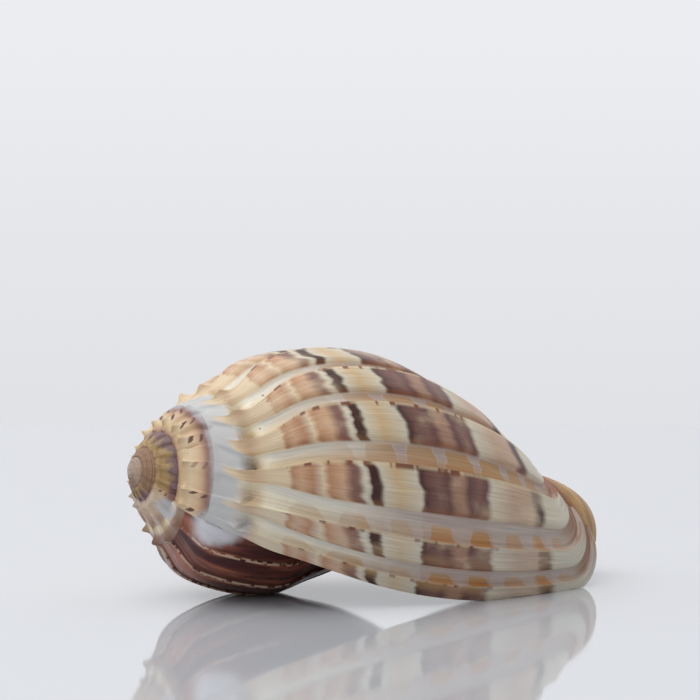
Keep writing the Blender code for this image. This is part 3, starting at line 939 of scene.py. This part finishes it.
def patterned_wall(colours, lines_tree, callus_tree):
    """Outer wall: colour bands on the ribs, arches between them, glaze, callus and lobe."""
    material, wires, surface = new_material("patterned_wall", colours)
    smooth = wires.smooth
    blend = wires.blend
    noise = wires.noise
    vector = wires.vector
    ramp = wires.ramp
    names = ("place", "phase", "growth", "rib", "glaze", "callus", "dusk")
    place, phase, growth, rib, glaze, callus, dusk = map(wires.attribute, names)
    where = wires.place_in("Object")
    rib_seed = rib * 3.71
    across = phase + rib_seed
    lines = wires.group(lines_tree, Across=across, Along=place)

    # Edges of the colour squares waver from growth line to growth line.
    waver = noise(vector(phase * 3.2, rib_seed, place * 5.0))
    jag = noise(vector(phase * 8.5, rib_seed, place * 7.0), detail=0.0)
    drift = noise(vector(rib_seed, 5.0), detail=0.0)
    offset = (waver - 0.5) * 0.026 + (jag - 0.5) * 0.014 + (drift - 0.5) * 0.018
    moved = place + offset + (phase - 0.3) * -0.014

    band = ramp(moved, BAND_STOPS)
    # Bands pale here and there, and their lower edge turns orange.
    pale = smooth(noise(vector(phase * 2.0, rib_seed, place * 14.0), detail=3.0), 0.48, 0.74)
    older = smooth(growth, -62.0, -90.0) * smooth(place, 0.37, 0.31) * smooth(phase, 0.12, 0.34)
    pale = pale * 0.42 + older * 0.38
    band = blend(pale, band, "peach")
    grey = wires.value("ShaderNodeRGBToBW", 0, {0: band})
    squares = smooth(grey, 0.42, 0.24)
    hem = wires.window(phase, 0.49, 0.57, 0.58, 0.63)
    band = blend(hem * squares * 0.45, band, "stain")
    # Painted highlight: a pale line along each rib's crest.
    band = blend(smooth(phase, 0.045, 0.010) * 0.60, band, "rim")
    notch = noise(vector(rib_seed, place * 40.0), detail=1.0)
    notch = smooth(notch, 0.54, 0.62) * smooth(phase, 0.075, 0.02)
    notch = notch * wires.window(place, 0.17, 0.21, 0.60, 0.66)
    band = blend(notch * 0.90, band, "notch")

    # Between the ribs: lilac grey with ochre arches that stand on the next crest.
    young = smooth(growth, -45.0, -43.0)
    arch = ramp(moved - young * 0.022, ARCH_STOPS)
    low = young * 0.28 + 0.02
    high = young * 0.20 + 0.42
    rise = smooth(arch, low, high)
    top = young * 0.16 + 0.60
    line = 1.06 - rise * (1.06 - top)
    ripple = (waver - 0.5) * 0.03
    over = phase - line + ripple
    ochre = smooth(over, -0.030, 0.050)
    # Older ribs keep a thin gap between their arches, and newer ones a wide soft one.
    filled = smooth(phase, 0.70, 0.90) * (0.62 - young * 0.40)
    ochre = wires.math("MAXIMUM", ochre, filled)
    border = wires.window(over, -0.130, -0.04, -0.01, 0.040)
    border = border * (1.0 - young)
    # Near the shoulder the grooves are pale cream, made paler as painted light where they face up.
    between = blend(smooth(place, 0.20, 0.44), "light", "lilac")
    frosty = wires.window(phase, 0.56, 0.62, 0.66, 0.90)
    frosty = frosty * wires.window(place, 0.12, 0.17, 0.26, 0.42)
    between = blend(smooth(place, 0.145, 0.120) * smooth(phase, 0.60, 0.95), between, "butter")
    between = blend(border * 0.40, between, "frost")
    deep_ochre = smooth(phase, 0.76, 1.0) * smooth(place, 0.40, 0.50)
    arch_colour = blend(deep_ochre, "ochre", "orange")
    strength = ochre * ramp(place, ARCH_STRENGTH)
    between = blend(strength, between, arch_colour)
    between = blend(frosty * 0.65, between, "white")
    between = blend(smooth(place, 0.84, 0.90) * 0.85, between, "sand")

    wall = blend(smooth(phase, 0.615, 0.575), between, band)
    fresh = smooth(growth, -46.0, -14.0) * 0.30
    wall = blend(fresh * smooth(grey, 0.25, 0.45), wall, "pale")
    newest = wires.window(growth, -16.0, -12.0, -4.5, -1.0) * smooth(grey, 0.30, 0.12)
    wall = blend(newest * smooth(phase, 0.65, 0.30) * 0.55, wall, "ochre")
    toward_end = place + offset * 2.0 + smooth(phase, 0.42, 0.66) * 0.045
    wall = blend(smooth(toward_end, 0.920, 0.975) * 0.62, wall, "stain")
    wall = wires.shaded(wall, (lines["Lines"] - 0.5) * 1.05 + 1.03)

    # Spire: peach whorls with dark double marks, purple towards the suture, tan at the apex.
    down = place / 0.262
    spire = ramp(down, SPIRE_STOPS)
    bowed = down + phase * phase * 0.42 + (waver - 0.5) * 0.10
    first_mark = wires.window(bowed, 0.52, 0.56, 0.59, 0.64)
    second_mark = wires.window(bowed, 0.71, 0.74, 0.76, 0.80)
    marks = wires.math("MAXIMUM", first_mark, second_mark * 0.85)
    marks = marks * wires.window(phase, 0.00, 0.10, 0.34, 0.52)
    marks = smooth(marks, 0.05, 0.75)
    some = smooth(noise(vector(rib_seed, 3.0), detail=0.0), 0.38, 0.42)
    spire = blend(marks * some * 0.9, spire, "mark")
    patchy = down + (noise(where, 620.0, 2.0) - 0.5) * 1.3
    second = ramp(patchy, SECOND_WHORL_STOPS)
    second = blend(smooth(phase, 0.45, 0.15) * smooth(down, 0.9, 0.6) * 0.35, second, "butter")
    spire = blend(smooth(growth, -715.0, -735.0), spire, second)
    rings = noise(vector(down * 13.0, 1.0), detail=2.0)
    apex = blend(smooth(rings, 0.40, 0.62), "apex", "tan")
    # Painted shade: the suture groove of each apex whorl is darkened with the pit colour.
    apex = blend(smooth(down, 0.20, 0.04) * 0.75, apex, "pit")
    apex = blend(smooth(growth, -1380.0, -1440.0) * 0.35, apex, "veil")
    spire = blend(smooth(growth, -1040.0, -1085.0), spire, apex)
    # Painted light: the pale veil lightens the left side of the spire's lower whorls.
    spire = blend(wires.attribute("veil"), spire, "veil")
    wall = blend(smooth(growth, *WHORL_END), wall, spire)

    # Anterior lobe past the ribs' ends.
    lobe = ramp((place + offset * 1.5) * 0.5, LOBE_STOPS)
    lobe = wires.shaded(lobe, (lines["Lines"] - 0.5) * 0.9 + 1.0)
    streaks = noise(vector(growth * 0.016, place * 17.0, 3.0), detail=4.0, roughness=0.65)
    streaks = smooth(streaks, 0.44, 0.57) * smooth(place, 1.85, 1.20)
    lobe = blend(streaks * 0.80, lobe, "stain")
    wall = blend(smooth(place, 0.985, 1.015), wall, lobe)
    folds = noise(vector(across * 16.0, place * 9.0, 6.0), detail=3.0, roughness=0.7)
    at_end = wires.window(place, 0.885, 0.940, 1.01, 1.08)
    wall = blend(smooth(folds, 0.48, 0.58) * at_end * 0.45, wall, "notch")
    wall = blend(smooth(folds, 0.47, 0.40) * at_end * 0.40, wall, "pale")

    # Tiny dark pin marks.
    dots = wires.node("ShaderNodeTexVoronoi", {"Vector": where, "Scale": 420.0}, feature="F1").outputs
    specks = smooth(dots["Distance"], 0.10, 0.05) * smooth(wires.parts(dots["Color"])[0], 0.90, 0.92)
    wall = blend(specks * 0.8, wall, "notch")

    # Purple near the callus, with painted shade on the turn before beside the glazed suture, then the
    # callus itself with worn white rib lines.
    wall = blend(dusk * 0.75, wall, "dusk")
    covered = smooth(callus + (noise(where, 260.0, 3.0) - 0.5) * 0.5, 0.35, 0.72)
    dark = wires.group(callus_tree, Across=across, Along=place, Dark="callus", Streak="streak")
    wall = blend(covered, wall, dark["Colour"])
    crest = wires.math("MAXIMUM", smooth(phase, 0.075, 0.02), smooth(phase, 0.975, 0.99))
    dashes = noise(vector(rib_seed, place * 46.0), detail=2.0)
    dashes = smooth(dashes, 0.42, 0.56) * (crest * covered)
    dashes = dashes * wires.window(place, 0.06, 0.10, 0.45, 0.80)
    wall = blend(dashes * 0.85, wall, "worn")

    # Milky glaze over everything.
    milky = smooth(glaze + (noise(where, 260.0, 4.0, 0.6) - 0.5) * 1.15, 0.15, 1.00) * 0.90
    below = wires.window(growth, -362.0, -358.0, GLAZED_FULL, GLAZED_FROM)
    below = below * smooth(place, 0.07, 0.11)
    wall = blend(milky, wall, blend(below, "glaze", "bright"))

    # Painted shade: the pits where the grooves start are darkened with the pit colour.
    tilt = (phase - 0.93) * 0.16
    along_pit = (place - 0.105 + tilt) / 0.0090
    across_pit = (phase - 0.940) / 0.078
    apart_pit = along_pit * along_pit + across_pit * across_pit
    pit = smooth(apart_pit, 1.25, 0.55) * smooth(growth, -262.0, -240.0)
    pit = pit * (1.0 - smooth(growth, -43.0, -30.0) * 0.75)
    wall = blend(pit * 0.95, wall, "pit")

    gloss = wires.math("MAXIMUM", milky, covered)
    rough = (lines["Lines"] * 0.16 + 0.26) * (1.0 - gloss * 0.35)
    relief = {"Distance": 0.00016, "Strength": 0.55 - gloss * 0.42, "Height": lines["Relief"]}
    finish_surface(wires, surface, wall, rough, 1.45, relief)
    return material


def mouth_porcelain(colours, lines_tree, callus_tree):
    """Inside of the mouth: porcelain on the lip's side, dark callus on the pillar's side."""
    material, wires, surface = new_material("mouth_porcelain", colours)
    smooth = wires.smooth
    blend = wires.blend
    place = wires.attribute("place")
    growth = wires.attribute("growth")
    side = wires.attribute("rib")
    where = wires.place_in("Object")
    across = growth * 0.05
    lines = wires.group(lines_tree, Across=across, Along=place)
    rim = smooth(growth, -9.0, -1.5)
    inner = blend(smooth(growth, -10.0, -70.0), "porcelain", "peach")
    show = wires.ramp(place, BAND_STOPS)
    inner = blend(rim * 0.35 + 0.12, inner, show)
    cloud = wires.noise(where, 150.0, 3.0)
    dark = wires.group(callus_tree, Across=across, Along=place, Dark="callus", Streak="streak")
    stain = smooth(side, 0.55, 0.75) * smooth(cloud, 0.30, 0.48)
    stain = stain * smooth(place, 1.15, 0.80)
    stain = stain * smooth(growth, -75.0, -30.0)
    inner = blend(stain, inner, dark["Colour"])
    relief = {"Distance": 0.00008, "Strength": 0.25, "Height": lines["Relief"]}
    finish_surface(wires, surface, inner, lines["Lines"] * 0.12 + 0.10, 1.52, relief)
    return material


def table_top(colour, roughness):
    """Pale polished table with a faint cloudiness in its gloss."""
    material, wires, surface = new_material("table_top")
    where = wires.place_in("Object")
    clouds = wires.noise(where, 14.0, 3.0)
    looks = {"Base Color": colour, "Roughness": clouds * 0.05 + roughness, "IOR": 1.62}
    for name, source in looks.items():
        wires.feed(surface.inputs[name], source)
    return material


# The shell's colours, as everyday 0 to 255 values of red, green and blue. Pit is painted shade, rim a
# painted highlight, and light a pale cream made partly of painted light; the purple near the callus is
# partly painted shade and the pale veil partly painted light.
SHELL_COLOURS = {
    "cream": (214, 204, 180), "light": (240, 228, 198), "white": (226, 226, 218),
    "butter": (210, 178, 132), "beige": (198, 164, 136), "peach": (228, 204, 168),
    "square": (190, 138, 100), "plum": (134, 96, 84), "tan": (170, 132, 98), "bar": (68, 36, 28),
    "notch": (122, 62, 40), "lilac": (190, 172, 162), "frost": (212, 198, 184),
    "ochre": (192, 150, 98), "orange": (190, 128, 62), "ramp": (220, 208, 186),
    "glaze": (196, 197, 198), "callus": (70, 18, 14), "streak": (176, 100, 72),
    "worn": (222, 196, 168), "smoke": (132, 104, 104), "mauve": (150, 104, 92),
    "veil": (220, 202, 188), "dusk": (124, 80, 78), "bright": (226, 228, 232),
    "apricot": (222, 186, 148), "mark": (88, 36, 18), "gap": (170, 130, 106),
    "sand": (168, 138, 110), "pale": (206, 202, 192), "blush": (208, 164, 128),
    "dusky": (110, 74, 68), "rim": (222, 200, 160), "pit": (40, 26, 18), "apex": (136, 102, 82),
    "stain": (146, 88, 46), "olive": (204, 162, 96), "moss": (178, 146, 96),
    "porcelain": (226, 212, 194),
}
TABLE_COLOUR = (0.61, 0.625, 0.65)
# Sizes of the relief: key, label, description, usual value and greatest value.
SIZES = (
    ("rib_height", "Rib height", "Height of a rib at the lip, in shell lengths", 0.0205, 0.05),
    ("spine_height", "Spine height", "Height of the shoulder spines, in shell lengths", 0.015, 0.05),
    ("pit_depth", "Pit depth", "Depth of the pits where grooves start, in shell lengths", 0.028, 0.05),
    ("crest_lean", "Crest lean", "Degrees by which a crest leans over its groove", 1.25, 4.0),
)
# What the table and the lights can change, with the same columns.
STAGE = (
    ("table_roughness", "Table roughness", "How far the table blurs reflections", 0.025, 1.0),
    ("key_power", "Key light", "Power of the large overhead light in watts", 3.9, 100.0),
    ("fill_power", "Fill light", "Power of the light beside the camera in watts", 1.3, 100.0),
    ("sky", "Room light", "Brightness of the pale room around the table", 0.80, 10.0),
)


def number_properties(rows):
    return {
        key: FloatProperty(name=label, description=told, default=usual, min=0.0, max=most)
        for key, label, told, usual, most in rows
    }


def colour_property(key, colour):
    name = key.replace("_", " ").capitalize()
    return FloatVectorProperty(
        name=name,
        description=name + " colour",
        subtype="COLOR",
        size=3,
        min=0.0,
        max=1.0,
        default=colour,
    )


class HARPSHELL_PG_sizes(bpy.types.PropertyGroup):
    __annotations__ = number_properties(SIZES)


class HARPSHELL_PG_colours(bpy.types.PropertyGroup):
    __annotations__ = {key: colour_property(key, shade(*SHELL_COLOURS[key])) for key in SHELL_COLOURS}


class HARPSHELL_PG_stage(bpy.types.PropertyGroup):
    __annotations__ = dict(
        number_properties(STAGE),
        table_colour=colour_property("table_colour", TABLE_COLOUR),
    )


def shell_mesh(sheet):
    """The sheet as a mesh with its point and corner values."""
    mesh = bpy.data.meshes.new("harp_shell_skin")
    mesh.from_pydata(sheet.points, [], sheet.faces)

    def store(name, kind, domain, values):
        layer = mesh.attributes.new(name, kind, domain)
        part = "vector" if kind == "FLOAT_VECTOR" else "value"
        layer.data.foreach_set(part, values.astype(np.float32).ravel())

    told = np.array(sheet.told)
    numbers = len(sheet.POINT_NUMBERS)
    for column, name in enumerate(sheet.POINT_NUMBERS):
        store(name, "FLOAT", "POINT", told[:, column])
    for order, name in enumerate(sheet.POINT_ARROWS):
        first = numbers + 3 * order
        store(name, "FLOAT_VECTOR", "POINT", told[:, first:first + 3])
    corners = np.array(sheet.corners, float)
    used = np.array([point for face in sheet.faces for point in face])
    masks = corner_masks(corners, np.array(sheet.points)[used] * 1000.0)
    values = dict(zip(("place", "phase", "growth", "rib"), corners.T), **masks)
    for name, column in values.items():
        store(name, "FLOAT", "CORNER", column)
    inside = mesh.attributes.new("inside_face", "BOOLEAN", "FACE")
    inside.data.foreach_set("value", np.array(sheet.inside))
    return mesh


def add_object(context, name, data):
    made = bpy.data.objects.new(name, data)
    context.scene.collection.objects.link(made)
    return made


class HARPSHELL_OT_build_shell(bpy.types.Operator):
    """Builds the shell with raised ribs and its colours"""

    bl_idname = "harpshell.build_shell"
    bl_label = "Build Shell"

    def execute(self, context):
        sizes = context.scene.harp_sizes
        shown = context.scene.harp_colours
        colours = {key: tuple(getattr(shown, key)) for key in SHELL_COLOURS}
        lines_tree = growth_lines_group()
        callus_tree = dark_callus_group()
        wall = patterned_wall(colours, lines_tree, callus_tree)
        mouth = mouth_porcelain(colours, lines_tree, callus_tree)
        maker = add_object(context, "shell_maker", shell_mesh(build_sheet()))
        tree = raise_ribs_tree(wall, mouth, {row[1]: getattr(sizes, row[0]) for row in SIZES})
        maker.modifiers.new("raise_ribs", "NODES").node_group = tree
        context.view_layer.update()
        shape = maker.evaluated_get(context.evaluated_depsgraph_get())
        skin = bpy.data.meshes.new_from_object(shape)
        skin.name = "harp_shell_skin"
        bpy.data.objects.remove(maker, do_unlink=True)
        for name in ShellSheet.POINT_NUMBERS + ShellSheet.POINT_ARROWS + ("inside_face",):
            skin.attributes.remove(skin.attributes[name])
        skin.shade_smooth()
        skin.set_sharp_from_angle(angle=math.radians(55.0))
        shell = add_object(context, "harp_shell_skin", skin)
        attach(shell, "root")
        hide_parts("harp_shell")
        return {"FINISHED"}


class HARPSHELL_OT_set_stage(bpy.types.Operator):
    """Lays the table and sets the lights and the camera"""

    bl_idname = "harpshell.set_stage"
    bl_label = "Set Stage"

    def execute(self, context):
        stage = context.scene.harp_stage
        turn = Matrix.Rotation(math.radians(CAMERA_TURN), 3, "Z")
        corners = [(-TABLE_REACH, -TABLE_REACH, 0), (TABLE_REACH, -TABLE_REACH, 0),
                   (TABLE_REACH, TABLE_BEHIND, 0), (-TABLE_REACH, TABLE_BEHIND, 0)]
        mesh = bpy.data.meshes.new("table")
        mesh.from_pydata([turn @ Vector(corner) for corner in corners], [], [(0, 1, 2, 3)])
        mesh.materials.append(table_top(tuple(stage.table_colour), stage.table_roughness))
        table = add_object(context, "table", mesh)

        room = bpy.data.worlds.new("pale_room")
        room.use_nodes = True
        wires = Wires(room.node_tree)
        sky = room.node_tree.nodes["Background"]
        where = wires.place_in("Generated")
        away = (-math.sin(math.radians(CAMERA_TURN)), math.cos(math.radians(CAMERA_TURN)), 0.25)
        facing = wires.vectors("DOT_PRODUCT", "Value", {0: where, 1: away})
        shades = wires.ramp(wires.smooth(facing, -0.5, 0.85), ROOM_STOPS)
        low = wires.smooth(wires.parts(where)[2], 0.0, -0.12)
        wires.feed(sky.inputs["Color"], wires.blend(low * 0.12, shades, (0.0, 0.0, 0.0)))
        sky.inputs["Strength"].default_value = stage.sky
        context.scene.world = room

        self.add_light(context, "key_light", (-0.30, 0.12, 0.62), 0.95, stage.key_power)
        self.add_light(context, "front_fill", (-0.45, -0.60, 0.50), 0.60, stage.fill_power)
        self.add_camera(context)
        context.scene.view_settings.view_transform = "Standard"
        return {"FINISHED"}

    def add_light(self, context, name, place, width, power):
        light = bpy.data.lights.new(name, "AREA")
        light.size = width
        light.energy = power
        lamp = add_object(context, name, light)
        aim = Vector((0.0, 0.0, 0.01)) - Vector(place)
        turned = aim.to_track_quat("-Z", "Y").to_matrix().to_4x4()
        lamp.matrix_world = Matrix.Translation(place) @ turned

    def add_camera(self, context):
        turn = math.radians(CAMERA_TURN)
        rise = math.radians(CAMERA_RISE)
        right = Vector((math.cos(turn), math.sin(turn), 0.0))
        level = math.cos(rise)
        back = Vector((math.sin(turn) * level, -math.cos(turn) * level, math.sin(rise)))
        up = back.cross(right)
        middle = Vector(APEX) - right * (APEX_ACROSS * PICTURE_WIDTH) + up * (APEX_DOWN * PICTURE_WIDTH)
        lens = bpy.data.cameras.new("view_lens")
        lens.sensor_width = SENSOR_WIDTH
        lens.lens = SENSOR_WIDTH * CAMERA_DISTANCE / PICTURE_WIDTH
        lens.clip_start = 0.01
        lens.clip_end = 50.0
        camera = add_object(context, "view_camera", lens)
        place = middle + back * CAMERA_DISTANCE
        turned = Matrix((right, up, back)).transposed().to_4x4()
        camera.matrix_world = Matrix.Translation(place) @ turned
        context.scene.camera = camera


class HARPSHELL_PT_panel(bpy.types.Panel):
    bl_idname = "HARPSHELL_PT_panel"
    bl_label = "Harp Shell"
    bl_space_type = "VIEW_3D"
    bl_region_type = "UI"
    bl_category = "Harp Shell"

    def draw(self, context):
        layout = self.layout
        scene = context.scene
        layout.operator(HARPSHELL_OT_build_shell.bl_idname)
        for row in SIZES:
            layout.prop(scene.harp_sizes, row[0])
        for key in SHELL_COLOURS:
            layout.prop(scene.harp_colours, key)
        layout.operator(HARPSHELL_OT_set_stage.bl_idname)
        layout.prop(scene.harp_stage, "table_colour")
        for row in STAGE:
            layout.prop(scene.harp_stage, row[0])


CLASSES = (
    HARPSHELL_PG_sizes,
    HARPSHELL_PG_colours,
    HARPSHELL_PG_stage,
    HARPSHELL_OT_build_shell,
    HARPSHELL_OT_set_stage,
    HARPSHELL_PT_panel,
)


def register():
    for kind in CLASSES:
        bpy.utils.register_class(kind)
    bpy.types.Scene.harp_sizes = PointerProperty(type=HARPSHELL_PG_sizes)
    bpy.types.Scene.harp_colours = PointerProperty(type=HARPSHELL_PG_colours)
    bpy.types.Scene.harp_stage = PointerProperty(type=HARPSHELL_PG_stage)


def unregister():
    del bpy.types.Scene.harp_stage
    del bpy.types.Scene.harp_colours
    del bpy.types.Scene.harp_sizes
    for kind in reversed(CLASSES):
        bpy.utils.unregister_class(kind)


def main():
    register()
    bpy.ops.harpshell.build_shell()
    bpy.ops.harpshell.set_stage()


if __name__ == "__main__":
    main()
